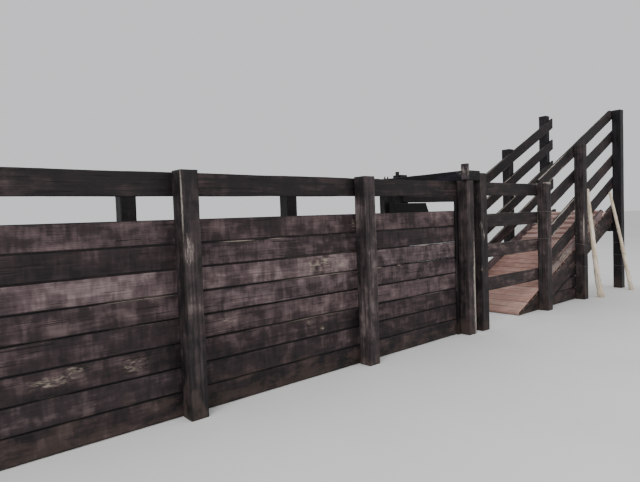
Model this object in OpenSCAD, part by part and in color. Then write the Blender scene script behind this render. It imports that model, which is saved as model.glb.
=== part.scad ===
// Timber cattle race with a loading ramp.
// Two rows of square posts carry close boards and a top rail along the race,
// a pair of gate posts under a cross beam, a railed bay, and a ramp with a
// planked deck between sloping rails.
// X runs along the race to the high end of the ramp, Y across it away from the
// near row, Z up. The origin is the middle of the footprint at ground level.

/* [Posts] */
// Side of the square posts
post_w = 150; // [120:5:180]
// Width of the worn corners of the posts
post_arris = 8; // [2:1:20]
// Height of the posts along the boarded race
race_post_h = 1900; // [1895:5:2100]
// Height of the post after the gate slot
slot_post_h = 1990; // [1900:5:2200]
// Height of the post where the rails turn upwards
knee_post_h = 1907; // [1895:5:2000]
// Height of the post half way up the ramp
mid_post_h = 2540; // [2450:5:2700]
// Height of the post at the high end of the ramp
end_post_h = 3284; // [3250:5:3450]
// How much taller the far posts stand
far_extra_h = 90; // [0:5:150]

/* [Layout] */
// Length of the first boarded bay, post centre to post centre
bay_1 = 1930; // [1500:10:2400]
// Length of the second boarded bay
bay_2 = 1930; // [1500:10:2400]
// Length of the third boarded bay
bay_3 = 1750; // [1500:10:2400]
// Clear width of the slot between the two gate posts
slot_w = 150; // [120:5:200]
// Length of the railed bay
bay_4 = 1740; // [1500:10:2000]
// Length of the lower ramp bay
bay_5 = 1280; // [1200:10:1400]
// Length of the upper ramp bay
bay_6 = 1630; // [1500:10:1700]
// Clear width between the two rows of posts
race_clear_w = 1130; // [900:10:1400]
// How far back down the ramp the far end post stands from its mate
far_end_back = 200; // [0:10:200]

/* [Boards] */
// Height of one wall board
board_h = 187; // [150:1:188]
// Thickness of the boards and rails
board_t = 38; // [25:1:50]
// Gap between boards, and between board ends at a post
board_gap = 4; // [2:1:8]
// Number of boards in the wall
board_count = 8; // [4:1:8]
// Height of the lowest board above the ground
ground_gap = 6; // [3:1:20]
// Height of the top rail's underside on the near row
top_rail_z = 1705; // [1690:1:1708]
// Width of the battens over the board ends beside the first gate posts
batten_w = 62; // [40:1:80]
// Thickness of those battens
batten_t = 25; // [15:1:40]

/* [Rails] */
// Height of a level or sloping rail, square to its length
rail_h = 178; // [140:1:185]
// Undersides of the level rails
level_rail_z = [453, 895, 1297, 1714]; // [400:1:1720]
// How much lower the far level rails sit
far_level_drop = 36; // [0:1:60]
// Length of the board that ties the two far gate posts, along its lower edge
gate_tie_l = 880; // [500:10:1200]
// How far the slanted end of that board is cut back at its upper edge
gate_tie_cut = 66; // [0:1:120]
// Top edges of the near sloping rails at the knee post
near_slope_rail_z = [674, 1085, 1535, 1955]; // [600:1:2000]
// Top edges of the far sloping rails at the knee post
far_slope_rail_z = [765, 1129, 1550, 1970]; // [600:1:2000]
// Slope of the ramp rails
rail_angle = 25.6; // [24:0.1:27]
// How far the near sloping rails run past their end post
rail_overrun = 40; // [10:1:80]
// How far the far sloping rails run past their end post
far_rail_overrun = 60; // [10:1:80]

/* [Ramp] */
// Slope of the deck
deck_angle = 23.3; // [21:0.1:24]
// Height of the deck at the knee posts
deck_knee_z = 330; // [300:1:335]
// Thickness of the deck planks
plank_t = 45; // [30:1:60]
// Gap between deck planks
plank_gap = 5; // [2:1:10]
// Number of deck planks
plank_count = 24; // [20:1:26]
// How far before the middle of the near end post the deck stops
deck_end_back = 360; // [250:10:450]
// How far before the end of the deck the kerb boards stop
kerb_end_back = 200; // [0:10:300]
// Height of the kerb board, square to the deck
kerb_h = 120; // [80:1:125]
// Thickness of a stringer
stringer_w = 75; // [50:1:100]
// Depth of a stringer, square to the deck
stringer_h = 290; // [200:1:300]
// Width of a bearer along the race
bearer_w = 100; // [70:1:130]
// Depth of a bearer
bearer_h = 150; // [100:1:180]
// Depth of the seats cut in the stringers for the bearers
seat_depth = 30; // [10:1:60]

/* [Cleats] */
// Width of a cleat
cleat_w = 50; // [35:1:75]
// Height of a cleat above the deck
cleat_h = 40; // [20:1:50]
// Number of cleats
cleat_count = 6; // [4:1:7]
// Distance from one cleat to the next
cleat_pitch = 212; // [150:1:220]
// Distance from the last cleat to the end of the deck
cleat_end = 2; // [0:1:80]
// Gap between the cleats and the kerbs
cleat_side_gap = 6; // [2:1:30]

/* [Cross beam] */
// Thickness of the cross beam
beam_t = 120; // [80:5:150]
// Width of the stop block on the beam, across the race
block_w = 90; // [80:1:120]
// Thickness of the stop block
block_t = 45; // [30:1:60]
// Height of the stop block above the beam
block_rise = 75; // [20:1:120]
// How far the stop block stands out past the beam's end
block_out = 43; // [0:1:60]

/* [Props] */
// How far past the middle ramp post the stouter prop leans
stout_prop_x = 356; // [300:2:420]
// How far before the end post the thinner prop leans
thin_prop_x = 266; // [200:2:320]
// Radii of the stouter prop at its head and foot
stout_prop_r = [33, 54]; // [20:1:80]
// Radii of the thinner prop at its head and foot
thin_prop_r = [25, 40]; // [15:1:60]
// How far the stouter prop's foot stands outside the near posts
stout_prop_out = 100; // [60:1:200]
// How far the thinner prop's foot stands outside the near posts
thin_prop_out = 200; // [110:1:300]
// How far below their rail's top edge the two heads lie
prop_head_drop = [40, 160]; // [30:5:170]
// Gap between a prop's head and the rail that it leans on
prop_gap = 0.3; // [0.2:0.1:1]

/* [Hidden] */

// Stations of the eight post centres, measured from the first post
station_1 = bay_1;
station_2 = station_1 + bay_2;
station_3 = station_2 + bay_3;
station_4 = station_3 + post_w + slot_w;
knee_x = station_4 + bay_4;
mid_x = knee_x + bay_5;
end_x = mid_x + bay_6;
stations = [0, station_1, station_2, station_3, station_4, knee_x, mid_x, end_x];
far_end_x = end_x - far_end_back;
function far_station(i) = i == 7 ? far_end_x : stations[i];

// The first gate posts stop under the beam, which clears the near top rail and
// reaches to the second gate posts
beam_rail_gap = 3;
beam_z = top_rail_z + board_h + beam_rail_gap;
beam_w = post_w + slot_w;
near_post_heights = [
    race_post_h, race_post_h, race_post_h, beam_z,
    slot_post_h, knee_post_h, mid_post_h, end_post_h
];
function far_post_height(i) = i == 3 ? beam_z : near_post_heights[i] + far_extra_h;

// Faces across the race, from the outside of the near posts
near_face = post_w;
far_face = post_w + race_clear_w;
total_w = 2 * post_w + race_clear_w;

// Extent of the whole object
low_x = -post_w / 2;
race_end_x = end_x + post_w / 2;
high_x = race_end_x + rail_overrun;
far_high_x = far_end_x + post_w / 2 + far_rail_overrun;
low_y = -max(stout_prop_out + stout_prop_r[1], thin_prop_out + thin_prop_r[1]);
centre_x = (low_x + high_x) / 2;
centre_y = (low_y + total_w) / 2;

// Slope of the rails and the deck
rail_rise = tan(rail_angle);
deck_rise = tan(deck_angle);
rail_drop = rail_h / cos(rail_angle);
stringer_low = -plank_t - stringer_h;

// High ends of the deck and the kerbs
deck_end_x = end_x - deck_end_back;
kerb_end_x = deck_end_x - kerb_end_back;

// Deck length along its own slope, from the toe just clear of the ground to the
// lower corner of the last plank
toe_gap = 6;
toe_u = (plank_t * cos(deck_angle) - deck_knee_z) / sin(deck_angle) + toe_gap;
top_u = (deck_end_x - knee_x - plank_t * sin(deck_angle)) / cos(deck_angle);
plank_pitch = (top_u - toe_u + plank_gap) / plank_count;
plank_w = plank_pitch - plank_gap;
lower_plank_count = ceil(((mid_x - knee_x) / cos(deck_angle) - toe_u) / plank_pitch);

// Underside of the stringers, and top edge of a near sloping rail
function stringer_z(x) = deck_knee_z + (x - knee_x) * deck_rise + stringer_low / cos(deck_angle);
function near_rail_top(i, x) = near_slope_rail_z[i] + (x - knee_x) * rail_rise;

// The end bearer lies half way between the two end posts, so that it meets both
end_bearer_x = (end_x + far_end_x) / 2;
mid_bearer_top = stringer_z(mid_x) + seat_depth;
end_bearer_top = stringer_z(end_bearer_x) + seat_depth;

// Foot and bend of each prop: along the race from its head, out from the near
// posts, and for the bend its height as a share of the head's
stout_prop_foot = [-30, stout_prop_out];
stout_prop_bend = [-90, stout_prop_out / 2, 0.27];
thin_prop_foot = [50, thin_prop_out];
thin_prop_bend = [20, thin_prop_out / 3, 0.45];

// Colours of the dark stained, weathered and raw timber
stained = "#4b4543";
weathered = "#8b7f7a";
floor_tone = "#a98f86";
raw_pole = "#cfc3b2";

// Moves what is built from the first post to the object's own origin
module placed() {
    translate([-centre_x, -centre_y, 0]) children();
}

// Outline in the X-Z plane, made thick across the race from y
module upright(y, t) {
    translate([0, y + t, 0]) rotate([90, 0, 0]) linear_extrude(t) children();
}

// A frame on the deck's surface at the knee posts, X up the slope
module on_deck() {
    translate([knee_x, 0, deck_knee_z]) rotate([0, -deck_angle, 0]) children();
}

// Square post whose four long corners are worn off
module post(x, y, h) {
    near = post_arris;
    far = post_w - post_arris;
    translate([x - post_w / 2, y, 0]) linear_extrude(h) polygon([
        [near, 0], [far, 0],
        [post_w, near], [post_w, far],
        [far, post_w], [near, post_w],
        [0, far], [0, near]
    ]);
}

module near_post(i) {
    color(stained) placed() post(stations[i], 0, near_post_heights[i]);
}

module far_post(i) {
    color(stained) placed() post(far_station(i), far_face, far_post_height(i));
}

// Ends of the boards between post i and the next, centred on the posts except
// at the ends of the wall
function wall_start(i) = i == 0 ? low_x : stations[i] + board_gap / 2;
function wall_end(i) = i == 2 ? station_3 + post_w / 2 : stations[i + 1] - board_gap / 2;

module wall_boards(i, y) {
    for (k = [0 : board_count - 1]) {
        z = ground_gap + k * (board_h + board_gap);
        translate([wall_start(i), y, z]) cube([wall_end(i) - wall_start(i), board_t, board_h]);
    }
}

module near_boards(i) {
    color(weathered) placed() wall_boards(i, near_face);
}

module far_boards(i) {
    color(weathered) placed() wall_boards(i, far_face - board_t);
}

module near_top_rail() {
    color(stained) placed() for (i = [0 : 2]) {
        translate([wall_start(i), near_face, top_rail_z])
            cube([wall_end(i) - wall_start(i), board_t, board_h]);
    }
}

// The far rail stands higher and is notched under the cross beam
module far_top_rail() {
    z = top_rail_z + far_extra_h;
    color(stained) placed() difference() {
        for (i = [0 : 2]) {
            translate([wall_start(i), far_face - board_t, z])
                cube([wall_end(i) - wall_start(i), board_t, board_h]);
        }
        translate([station_3 - post_w / 2 - board_gap, far_face - 2 * board_t, beam_z])
            cube([2 * post_w, 3 * board_t, 2 * board_h]);
    }
}

module level_rails(y, drop) {
    x = station_4 - post_w / 2;
    for (z = level_rail_z) {
        translate([x, y, z - drop]) cube([knee_x - board_gap / 2 - x, board_t, rail_h]);
    }
}

module near_level_rails() {
    color(stained) placed() level_rails(near_face, 0);
}

module far_level_rails() {
    color(stained) placed() level_rails(far_face - board_t, far_level_drop);
}

// Board nailed to the inner faces of the far gate posts, between the wall's top
// board and the uppermost level rail, with a slanted end
module far_gate_tie() {
    low = ground_gap + board_count * (board_h + board_gap);
    high = level_rail_z[3] - far_level_drop - board_gap;
    color(stained) placed() upright(far_face - board_t, board_t)
        translate([station_3 - post_w / 2, 0]) polygon([
            [0, low],
            [gate_tie_l, low],
            [gate_tie_l - gate_tie_cut, high],
            [0, high]
        ]);
}

// Battens over the board ends beside the first gate posts, up to the top rails
module gate_battens() {
    x = station_3 - post_w / 2 - batten_w;
    color(stained) placed() {
        translate([x, near_face - batten_t, 0]) cube([batten_w, batten_t, top_rail_z]);
        translate([x, far_face, 0]) cube([batten_w, batten_t, top_rail_z]);
    }
}

// One sloping board between plumb cuts at the knee posts and at end, its top edge
// at z on the knee posts
module slope_board(z, end) {
    run = end - knee_x - board_gap / 2;
    translate([knee_x + board_gap / 2, z + rail_rise * board_gap / 2]) polygon([
        [0, -rail_drop],
        [run, run * rail_rise - rail_drop],
        [run, run * rail_rise],
        [0, 0]
    ]);
}

// The uppermost near rail is cut level with the top of the end post
module near_slope_rails() {
    color(stained) placed() upright(near_face, board_t) intersection() {
        for (z = near_slope_rail_z) slope_board(z, high_x);
        square([high_x, end_post_h]);
    }
}

module far_slope_rails() {
    color(stained) placed() upright(far_face - board_t, board_t)
        for (z = far_slope_rail_z) slope_board(z, far_high_x);
}

// Kerb board standing on the planks, from the knee post up
module kerb(y) {
    run = kerb_end_x - knee_x;
    upright(y, board_t) translate([knee_x, deck_knee_z]) polygon([
        [0, 0],
        [run, run * deck_rise],
        [run, run * deck_rise + kerb_h / cos(deck_angle)],
        [0, kerb_h / cos(deck_angle)]
    ]);
}

module near_kerb() {
    color(weathered) placed() kerb(near_face);
}

module far_kerb() {
    color(weathered) placed() kerb(far_face - board_t);
}

// Stringer under the planks, cut level on the ground, seated on two bearers and
// cut plumb at end, past the deck
module stringer(y, end) {
    length = (end - knee_x) / cos(deck_angle) - toe_u + 2 * stringer_h;
    upright(y, stringer_w) difference() {
        intersection() {
            translate([knee_x, deck_knee_z]) rotate(deck_angle)
                translate([toe_u - stringer_h, stringer_low])
                    square([length, stringer_h]);
            square([end, end_post_h]);
        }
        bearer_outline(mid_x, mid_bearer_top);
        bearer_outline(end_bearer_x, end_bearer_top);
    }
}

module bearer_outline(x, top) {
    translate([x - bearer_w / 2, top - bearer_h]) square([bearer_w, bearer_h]);
}

module near_stringer() {
    color(stained) placed() stringer(near_face, high_x);
}

module middle_stringer() {
    color(stained) placed()
        stringer(near_face + (race_clear_w - stringer_w) / 2, end_bearer_x + bearer_w / 2);
}

module far_stringer() {
    color(stained) placed() stringer(far_face - stringer_w, end_bearer_x + bearer_w / 2);
}

module bearers() {
    color(stained) placed() upright(near_face, race_clear_w) {
        bearer_outline(mid_x, mid_bearer_top);
        bearer_outline(end_bearer_x, end_bearer_top);
    }
}

// Planks first to last - 1, counted from the toe
module deck_planks(first, last) {
    on_deck() for (k = [first : last - 1]) {
        translate([toe_u + k * plank_pitch, near_face, -plank_t])
            cube([plank_w, race_clear_w, plank_t]);
    }
}

module lower_deck() {
    color(floor_tone) placed() deck_planks(0, lower_plank_count);
}

module upper_deck() {
    color(floor_tone) placed() deck_planks(lower_plank_count, plank_count);
}

module cleats() {
    length = race_clear_w - 2 * board_t - 2 * cleat_side_gap;
    color(floor_tone) placed() on_deck() for (k = [0 : cleat_count - 1]) {
        translate([top_u - cleat_end - cleat_w - k * cleat_pitch,
                   near_face + board_t + cleat_side_gap, 0])
            cube([cleat_w, length, cleat_h]);
    }
}

// Boards that close the side of the lower ramp bay under the stringer
module side_boards(y) {
    end = mid_x - (bearer_w + board_gap) / 2;
    upright(y, board_t) intersection() {
        for (k = [0 : board_count - 1]) {
            translate([knee_x, ground_gap + k * (board_h + board_gap)])
                square([end - knee_x, board_h]);
        }
        polygon([
            [knee_x, 0],
            [end, 0],
            [end, stringer_z(end) - board_gap],
            [knee_x, stringer_z(knee_x) - board_gap]
        ]);
    }
}

module near_side_boards() {
    color(stained) placed() side_boards(near_face);
}

module far_side_boards() {
    color(stained) placed() side_boards(far_face - board_t);
}

// Flat beam across the race on the gate posts
module cross_beam() {
    color(stained) placed() translate([station_3 - post_w / 2, 0, beam_z])
        cube([beam_w, total_w, beam_t]);
}

// Upright block nailed to the beam's side, flush with its underside
module stop_block() {
    color(weathered) placed()
        translate([station_3 - post_w / 2 - block_t, -block_out, beam_z])
        cube([block_t, block_w, beam_t + block_rise]);
}

// Thin level disc, one section of a pole
module pole_disc(r) {
    cylinder(h = 1, r = r, $fn = 16);
}

// Pole that leans on near sloping rail i at x, its foot flat on the ground, bent
// once on its way up
module pole(i, x, drop, foot, bend, r) {
    head_z = near_rail_top(i, x) - drop;
    bend_r = r[1] + (r[0] - r[1]) * bend[2];
    hull() {
        translate([x + foot[0], -foot[1], 0]) pole_disc(r[1]);
        translate([x + bend[0], -bend[1], head_z * bend[2]]) pole_disc(bend_r);
    }
    hull() {
        translate([x + bend[0], -bend[1], head_z * bend[2]]) pole_disc(bend_r);
        translate([x, near_face - prop_gap - r[0], head_z]) pole_disc(r[0]);
    }
}

module stout_prop() {
    color(raw_pole) placed() pole(
        1, mid_x + stout_prop_x, prop_head_drop[0], stout_prop_foot, stout_prop_bend,
        stout_prop_r
    );
}

module thin_prop() {
    color(raw_pole) placed() pole(
        0, end_x - thin_prop_x, prop_head_drop[1], thin_prop_foot, thin_prop_bend,
        thin_prop_r
    );
}

near_post(0);  // near_post_0
near_post(1);  // near_post_1
near_post(2);  // near_post_2
near_post(3);  // near_post_3
near_post(4);  // near_post_4
near_post(5);  // near_post_5
near_post(6);  // near_post_6
near_post(7);  // near_post_7
far_post(0);  // far_post_0
far_post(1);  // far_post_1
far_post(2);  // far_post_2
far_post(3);  // far_post_3
far_post(4);  // far_post_4
far_post(5);  // far_post_5
far_post(6);  // far_post_6
far_post(7);  // far_post_7
near_boards(0);  // near_boards_1
near_boards(1);  // near_boards_2
near_boards(2);  // near_boards_3
far_boards(0);  // far_boards_1
far_boards(1);  // far_boards_2
far_boards(2);  // far_boards_3
near_top_rail();
far_top_rail();
near_level_rails();
far_level_rails();
far_gate_tie();
near_slope_rails();
far_slope_rails();
near_kerb();
far_kerb();
near_stringer();
middle_stringer();
far_stringer();
bearers();
gate_battens();
lower_deck();
upper_deck();
cleats();
near_side_boards();
far_side_boards();
cross_beam();
stop_block();
stout_prop();
thin_prop();
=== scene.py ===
"""Looks of a dark stained timber cattle race with its loading ramp.

Every post, board, rail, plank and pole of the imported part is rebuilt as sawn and
weathered timber on the part's own solids. Nails, bolts and tied wire are added.
"""

import math
import zlib
from collections import namedtuple

import bmesh
import bpy
import numpy as np
from mathutils import Matrix, Vector


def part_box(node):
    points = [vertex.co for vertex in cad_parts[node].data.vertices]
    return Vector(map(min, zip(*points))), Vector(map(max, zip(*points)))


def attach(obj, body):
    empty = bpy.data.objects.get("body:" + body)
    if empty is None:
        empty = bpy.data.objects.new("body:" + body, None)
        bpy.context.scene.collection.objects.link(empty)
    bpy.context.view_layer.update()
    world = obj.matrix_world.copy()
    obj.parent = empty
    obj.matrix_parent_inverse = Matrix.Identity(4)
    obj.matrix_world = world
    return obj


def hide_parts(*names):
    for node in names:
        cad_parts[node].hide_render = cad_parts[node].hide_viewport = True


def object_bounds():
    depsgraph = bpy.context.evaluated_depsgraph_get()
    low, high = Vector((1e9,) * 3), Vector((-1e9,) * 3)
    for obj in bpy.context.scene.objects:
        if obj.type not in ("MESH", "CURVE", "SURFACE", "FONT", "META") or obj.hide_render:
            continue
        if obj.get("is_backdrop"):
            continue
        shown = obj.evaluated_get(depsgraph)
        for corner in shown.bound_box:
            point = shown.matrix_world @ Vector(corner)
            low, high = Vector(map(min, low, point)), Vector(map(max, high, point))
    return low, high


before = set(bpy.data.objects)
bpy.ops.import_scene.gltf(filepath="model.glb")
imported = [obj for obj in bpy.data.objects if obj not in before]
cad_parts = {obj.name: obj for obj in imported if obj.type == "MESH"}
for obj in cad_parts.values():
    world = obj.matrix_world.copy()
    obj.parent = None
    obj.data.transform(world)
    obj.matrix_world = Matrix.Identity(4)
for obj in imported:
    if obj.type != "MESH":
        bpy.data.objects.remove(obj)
CAD_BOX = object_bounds()

bl_info = {
    "name": "Cattle race looks",
    "version": (1, 0, 0),
    "blender": (4, 5, 0),
    "location": "View3D > Sidebar > Cattle race",
    "description": "Sawn, stained and weathered timber for a cattle race and its ramp",
    "category": "Object",
}

MM = 0.001
COARSER = 1.0
ROWS = ("near", "far")
POSTS = range(8)
END_POST = POSTS[-1]
BAYS = (1, 2, 3)

# Finish and slot of most pieces.
STAINED = ("creosoted_sawn_softwood", "stained_timber")
WEATHERED = ("weathered_creosoted_boards", "weathered_boards")

# How worn timbers are: 0 is the dark stain as it was brushed on, 1 is worn to a
# pinkish grey. Near posts from the wall's start, and boards and rails from the lowest.
NEAR_POST_TONES = (0.30, 0.40, 0.66, 0.50, 0.44, 0.58, 0.46, 0.22)
FAR_POST_TONE = 0.26
RAIL_TONES = {
    "top_rail": (0.26, 0.32, 0.36),
    "level_rails": (0.58, 0.60, 0.40, 0.36),
    "slope_rails": (0.46, 0.40, 0.36, 0.34),
}
WALL_WEAR = {
    "near_boards_1": (0.26, 0.34, 0.28, 0.34, 0.46, 0.72, 0.28, 0.44),
    "near_boards_2": (0.24, 0.28, 0.36, 0.54, 0.54, 0.74, 0.40, 0.42),
    "near_boards_3": (0.24, 0.30, 0.38, 0.48, 0.56, 0.68, 0.32, 0.54),
}

# Places in metres: centre x, y, z, then reach in x, y, z, then strength. On the near
# side the boards' outer face is at y -0.445, and the posts' at y -0.595.
# Where the surface is worn lighter (above 0) or stays darker (below 0). The two tall
# strips on the boards just left of the first two near posts are painted shade.
TONE_PLACES = (
    (-4.85, -0.445, 1.80, 0.55, 0.06, 0.12, 0.26),
    (-4.08, -0.445, 1.80, 0.22, 0.06, 0.12, -0.12),
    (-3.10, -0.445, 1.80, 0.30, 0.06, 0.12, 0.14),
    (-4.28, -0.445, 0.50, 0.24, 0.06, 0.08, 0.20),
    (-3.80, -0.445, 0.49, 0.14, 0.06, 0.10, 0.16),
    (-3.40, -0.595, 1.28, 0.040, 0.03, 0.13, 0.20),
    (-3.37, -0.595, 0.89, 0.09, 0.03, 0.08, 0.20),
    (-1.72, -0.445, 1.05, 0.12, 0.06, 0.05, 0.16),
    (-2.01, -0.445, 1.06, 0.13, 0.06, 0.07, -0.26),
    # Painted shade on the boards just left of the first and second near posts.
    (-3.50, -0.445, 0.80, 0.05, 0.06, 0.90, -0.14),
    (-1.57, -0.445, 0.80, 0.07, 0.06, 0.90, -0.16),
    (3.57, -0.580, 1.10, 0.04, 0.05, 0.35, 0.40),
    (-1.44, -0.520, 1.86, 0.12, 0.12, 0.26, -0.34),
)

# Rubbed to bare wood (above 0), or a dark knot (below 0).
BARE_PLACES = (
    (-4.33, -0.445, 0.49, 0.13, 0.05, 0.030, 0.60),
    (-4.22, -0.445, 0.54, 0.10, 0.05, 0.025, 0.45),
    (-3.80, -0.445, 0.49, 0.09, 0.05, 0.050, 0.50),
    (-1.72, -0.445, 1.04, 0.07, 0.05, 0.030, 0.60),
    (-1.915, -0.445, 1.100, 0.030, 0.05, 0.014, 2.20),
    (-1.921, -0.445, 1.133, 0.032, 0.05, 0.014, -3.00),
    (-1.975, -0.445, 1.055, 0.130, 0.05, 0.065, 0.58),
    (-2.116, -0.445, 1.060, 0.018, 0.05, 0.060, 0.90),
    # A thin bright line down the gate post's corner towards the ramp, up to about 1 m.
    (0.372, -0.600, 0.50, 0.018, 0.03, 0.50, 3.50),
    (-2.16, -0.445, 0.534, 0.02, 0.05, 0.02, 1.00),
    (-2.00, -0.445, 0.451, 0.02, 0.05, 0.02, 1.00),
    (-3.01, -0.445, 0.680, 0.05, 0.05, 0.02, 0.80),
    (-1.54, -0.480, 1.440, 0.02, 0.08, 0.06, 0.80),
    (0.59, -0.595, 1.212, 0.02, 0.02, 0.05, 0.90),
    (0.55, -0.595, 1.339, 0.02, 0.02, 0.04, 0.80),
    (0.53, -0.595, 0.780, 0.02, 0.03, 0.05, 0.35),
    (0.31, -0.620, 2.010, 0.12, 0.12, 0.060, 1.10),
    (2.35, -0.595, 1.907, 0.10, 0.04, 0.020, 3.00),
    (-3.40, -0.595, 1.300, 0.03, 0.03, 0.120, 0.48),
    (2.55, -0.445, 0.476, 0.18, 0.04, 0.080, 1.10),
    (2.85, -0.445, 0.605, 0.18, 0.04, 0.080, 1.10),
    (3.15, -0.445, 0.735, 0.18, 0.04, 0.080, 1.10),
    (3.34, -0.445, 0.818, 0.10, 0.04, 0.080, 1.10),
    (4.10, -0.445, 1.144, 0.40, 0.04, 0.200, 0.80),
)

# Long corners that are worn pale.
WORN_CORNERS = (
    (-3.425, -0.595, 1.68, 0.04, 0.04, 0.28, 0.90),
    (-1.365, -0.595, 1.10, 0.03, 0.03, 0.55, 0.75),
    (2.425, -0.595, 1.45, 0.03, 0.03, 0.40, 0.70),
    (-3.75, -0.445, 0.946, 0.35, 0.04, 0.014, 0.66),
    (-3.62, -0.445, 0.755, 0.20, 0.04, 0.014, 0.60),
    (-2.88, -0.445, 1.330, 0.17, 0.04, 0.014, 1.60),
    (-2.50, -0.445, 1.330, 0.10, 0.04, 0.014, 1.40),
    (-1.93, -0.445, 0.946, 0.42, 0.04, 0.014, 1.10),
    (-2.10, -0.445, 0.564, 0.55, 0.04, 0.014, 0.64),
    (-0.42, -0.445, 1.139, 0.09, 0.04, 0.014, 1.60),
    (-0.10, -0.445, 1.139, 0.035, 0.04, 0.014, 1.40),
    (-1.19, -0.445, 0.948, 0.05, 0.04, 0.014, 1.60),
    (-0.86, -0.445, 0.948, 0.02, 0.04, 0.014, 1.50),
    (-0.545, -0.445, 0.757, 0.02, 0.04, 0.014, 1.50),
    (-0.22, -0.445, 0.564, 0.35, 0.04, 0.014, 0.68),
    (3.40, 0.647, 1.700, 1.30, 0.03, 0.60, 1.60),
    (3.555, -0.595, 1.200, 0.03, 0.03, 0.16, 3.00),
    (2.55, -0.445, 2.000, 0.35, 0.02, 0.16, 4.50),
    (3.00, -0.445, 2.210, 0.30, 0.02, 0.14, 4.00),
    (2.70, -0.445, 1.253, 0.35, 0.02, 0.15, 8.00),
    (3.20, -0.445, 1.492, 0.35, 0.02, 0.15, 8.00),
    (2.36, -0.520, 1.905, 0.15, 0.15, 0.02, 1.30),
)

# Long drying cracks: side (0 outer, 1 towards the ramp, 2 inner, 3 towards the wall),
# share across that side, start and end along the timber in m, depth in mm.
CRACKS = {
    "near_post_1": ((0, 0.66, 0.1, 1.1, 9), (3, 0.50, 0.8, 1.7, 8)),
    "near_post_2": ((0, 0.40, 0.9, 1.85, 9), (3, 0.45, 0.1, 0.9, 8)),
    "near_post_3": ((0, 0.55, 1.0, 1.6, 8), (3, 0.60, 0.9, 1.8, 9)),
    "near_post_4": ((0, 0.45, 0.6, 1.6, 9),),
    "near_post_5": ((0, 0.58, 1.0, 1.88, 9), (3, 0.40, 0.2, 1.2, 8)),
    "near_post_6": ((0, 0.42, 0.9, 2.2, 9), (3, 0.55, 1.4, 2.5, 9)),
    "near_post_7": ((0, 0.55, 0.4, 1.7, 9), (3, 0.50, 1.8, 3.1, 9)),
}
PLAIN_CRACK = ((0, 0.45, 0.4, 1.5, 8),)

# Foot, bend and head of each prop in m, then radius at foot and head in mm.
PROPS = {
    "stout_prop": (
        ((3.956, -0.695, 0.0), (3.896, -0.645, 0.4938), (3.986, -0.4783, 1.8288)),
        (54, 33),
    ),
    "thin_prop": (
        ((5.044, -0.795, 0.0), (5.014, -0.6617, 0.8014), (4.994, -0.4703, 1.7808)),
        (40, 25),
    ),
}

# Closed loops round the ramp posts: height in m, and fall round the post in mm.
WIRE_LOOPS = {
    "near_post_6": ((0.93, 60), (0.57, 50)),
    "near_post_7": ((0.85, 12), (0.62, 8), (0.42, 12)),
}

NAIL_PAIR = (0.25, 0.75)  # shares of a board's height or a plank's width
NAIL_PROUD = 1.2 * MM

FLOOR_WIDTH = 400  # m, so that its edge doesn't show
# Large soft lamps: place in m, the point they face, width in m, power in W.
LAMPS = {
    "key_light": ((-13, -8, 9), (0, 0, 1), 9, 1500),
    "fill_light": ((3, -12, 7), (1, 0, 1), 9, 400),
    "back_light": ((4, 10, 9), (1, 0, 1), 9, 500),
}


def linear(hex_colour):
    """An sRGB hex colour such as 3b3337 as linear RGBA, by the sRGB standard."""
    channels = [int(hex_colour[i : i + 2], 16) / 255 for i in (0, 2, 4)]
    return tuple(
        c / 12.92 if c <= 0.04045 else ((c + 0.055) / 1.055) ** 2.4 for c in channels
    ) + (1.0,)


def size(name, default, description):
    """A size in metres, given in mm."""
    return bpy.props.FloatProperty(
        name=name, description=description, default=default * MM, unit="LENGTH"
    )


def colour(name, default, description):
    """A colour, given as an sRGB hex value."""
    return bpy.props.FloatVectorProperty(
        name=name, description=description, default=linear(default), size=4,
        min=0.0, max=1.0, subtype="COLOR",
    )


class RaceTimber(bpy.types.PropertyGroup):
    """Sizes of the worked timber."""

    post_corner: size("Post corner", 8, "Radius worn on the posts' long corners")
    board_corner: size("Board corner", 6, "Radius of the boards' long edges")
    edge_wander: size("Edge wander", 3.6, "How far a sawn edge strays")
    wall_wander: size("Wall edge wander", 0.6, "How far a wall board's edge strays")
    face_wave: size("Face wave", 1.8, "How far a sawn face strays from flat")
    step: size("Mesh step", 25, "Distance between sections along a timber")
    row: size("Mesh row", 17, "Distance between mesh rows across a timber")


class RaceColours(bpy.types.PropertyGroup):
    """Colours of the timber finishes and the floor."""

    stained_dark: colour("Stain, whole", "0d0a0c", "Posts and rails, stain whole")
    stained_middle: colour("Stain, thin", "1f1a1b", "Posts and rails, stain thin")
    stained_light: colour("Stain, washed", "423838", "Posts and rails, washed by rain")
    stained_worn: colour("Stain, worn", "7a6d6a", "Posts and rails, worn grey")
    stained_bare: colour("Stain, rubbed", "a2988f", "Posts and rails, rubbed bare")
    boards_dark: colour("Boards, dark", "140f11", "Wall boards, stain whole")
    boards_middle: colour("Boards, thin", "33292b", "Wall boards, stain thin")
    boards_light: colour("Boards, washed", "5b4d4f", "Wall boards, washed by rain")
    boards_worn: colour("Boards, worn", "827273", "Wall boards, worn pinkish grey")
    boards_bare: colour("Boards, rubbed", "94887b", "Wall boards, rubbed bare")
    planks_dark: colour("Planks, dark", "5a433c", "Ramp planks in the joints")
    planks_middle: colour("Planks, muddy", "94736a", "Ramp planks under mud")
    planks_light: colour("Planks, trodden", "b89286", "Ramp planks, trodden")
    planks_worn: colour("Planks, worn", "cfaea2", "Ramp planks, worn")
    planks_bare: colour("Planks, rubbed", "d9c0b4", "Ramp planks, rubbed bare")
    poles_dark: colour("Poles, dark", "7a6750", "Props in their hollows")
    poles_middle: colour("Poles, grey", "b9a78d", "Props, weathered grey")
    poles_light: colour("Poles, pale", "ddceb6", "Props, bleached")
    poles_worn: colour("Poles, palest", "f0e7d6", "Props, bleached most")
    poles_bare: colour("Poles, rubbed", "ece4d9", "Props, rubbed bare")
    floor: colour("Floor", "e1e1df", "Studio floor")


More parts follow.
